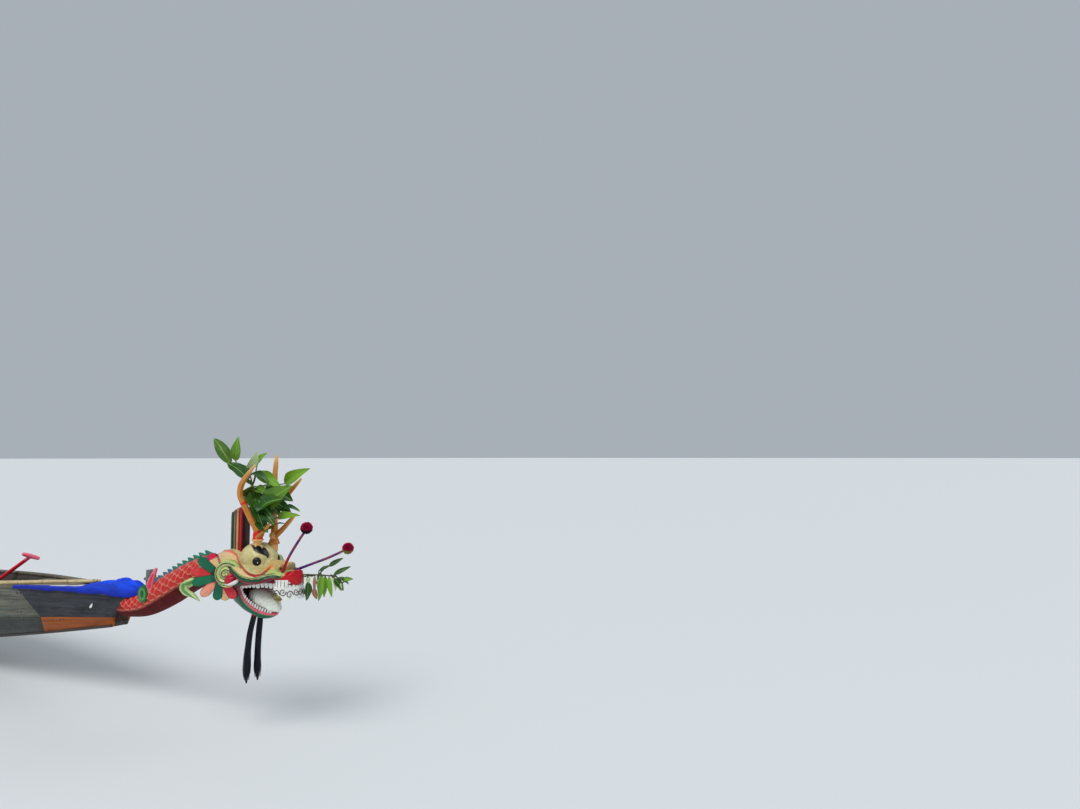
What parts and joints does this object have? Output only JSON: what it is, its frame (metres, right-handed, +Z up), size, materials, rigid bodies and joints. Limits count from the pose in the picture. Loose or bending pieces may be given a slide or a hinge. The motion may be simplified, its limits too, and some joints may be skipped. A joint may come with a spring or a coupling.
{
  "type": "dragon boat",
  "caption": "Long planked wooden paddling boat with a carved open-mouthed dragon's head, curled tail, drum and steering oar.",
  "frame": {"origin": "amidships on the centreline, at the waterline of the empty boat", "axes": "+X to the bow, +Y to port, +Z up"},
  "size_m": [18.8957, 1.178, 2.3089],
  "materials": {
    "weathered_planks": "old grey-green paint worn to the grain",
    "slate_board": "dark blue-grey paint, scuffed",
    "amber_board": "new orange-brown stained wood",
    "bottom_planks": "wet stained wood",
    "inner_wood": "bare weathered wood",
    "rail_wood": "bare pale wood, worn",
    "deck_wood": "bare sawn boards",
    "scale_paint": "gloss red paint, scales outlined in pale gold",
    "teal_paint": "gloss dark teal paint",
    "head_paint": "gloss beige paint with red and black lines",
    "jaw_paint": "gloss green paint with a pink lip",
    "tooth_paint": "gloss white paint",
    "tongue_paint": "satin pale green-white paint",
    "pearl_paint": "gloss olive-gold paint",
    "eye_paint": "gloss black paint",
    "ruff_paint": "gloss green, red and pink paint",
    "antler_paint": "satin orange-brown paint with red bands",
    "mane_paint": "gloss red, beige and green paint",
    "whisker_wrap": "purple and red yarn wrapped on wire",
    "beard_hair": "dark navy fibre",
    "leaf_paint": "gloss green paint",
    "claw_paint": "gloss pale green paint",
    "post_wood": "grey weathered wood",
    "leaves": "fresh broad leaves, satin",
    "flag_fabric": "royal blue nylon",
    "bamboo": "dry bamboo",
    "paddle_paint": "gloss red paint",
    "oar_wood": "oiled wood",
    "crutch_wood": "dark hardwood",
    "drum_paint": "gloss red lacquer",
    "drum_skin": "stretched hide",
    "iron": "rusty iron",
    "rope": "laid fibre rope"
  },
  "bodies": {
    "hull": {"lower_plank_aft_starboard": "weathered_planks", "lower_plank_forward_starboard": "weathered_planks", "lower_plank_aft_port": "weathered_planks", "lower_plank_forward_port": "weathered_planks", "upper_plank_aft_starboard": "weathered_planks", "upper_plank_forward_starboard": "weathered_planks", "upper_plank_aft_port": "weathered_planks", "upper_plank_forward_port": "weathered_planks", "lower_bow_board_starboard": "amber_board", "lower_bow_board_port": "amber_board", "upper_bow_board_starboard": "slate_board", "upper_bow_board_port": "slate_board", "gunwale_cap_aft_starboard": "rail_wood", "gunwale_cap_forward_starboard": "rail_wood", "gunwale_cap_aft_port": "rail_wood", "gunwale_cap_forward_port": "rail_wood", "bottom_plank_aft": "bottom_planks", "bottom_plank_forward": "bottom_planks", "thwarts_aft": "inner_wood", "thwarts_forward": "inner_wood", "floor_frames_aft": "inner_wood", "floor_frames_forward": "inner_wood", "bow_block": "inner_wood", "stern_block": "inner_wood", "bow_deck": "deck_wood", "stern_deck": "deck_wood", "neck": "scale_paint", "neck_fins": "teal_paint", "upper_head": "head_paint", "lower_jaw": "jaw_paint", "lower_teeth": "tooth_paint", "upper_teeth": "tooth_paint", "tongue": "tongue_paint", "pearl": "pearl_paint", "eye_starboard": "eye_paint", "eye_port": "eye_paint", "ruff_starboard": "ruff_paint", "ruff_port": "ruff_paint", "antler_starboard": "antler_paint", "antler_port": "antler_paint", "mane_boards": "mane_paint", "whisker_starboard": "whisker_wrap", "whisker_port": "whisker_wrap", "beard_starboard": "beard_hair", "beard_port": "beard_hair", "neck_leaf": "leaf_paint", "neck_claw": "claw_paint", "neck_post": "post_wood", "crown_leaves": "leaves", "lip_leaves": "leaves", "tail": "scale_paint", "flag_poles": "bamboo", "flag_cloth": "flag_fabric", "paddle": "paddle_paint", "stern_beam": "inner_wood", "drum_stand": "inner_wood", "drum": "drum_paint"},
    "crutch": {"oar_crutch": "crutch_wood"},
    "oar": {"steering_oar": "oar_wood"}
  },
  "joints": [
    {"name": "oar_swing", "type": "hinge", "parent": "hull", "child": "crutch", "pos_m": [-6.85, -0.33, 0.96], "axis": [0, 0, 1], "range_deg": [-5, 40]},
    {"name": "oar_dip", "type": "hinge", "parent": "crutch", "child": "oar", "pos_m": [-6.85, -0.33, 0.96], "axis": [0, 1, 0], "range_deg": [-4, 30]}
  ]
}
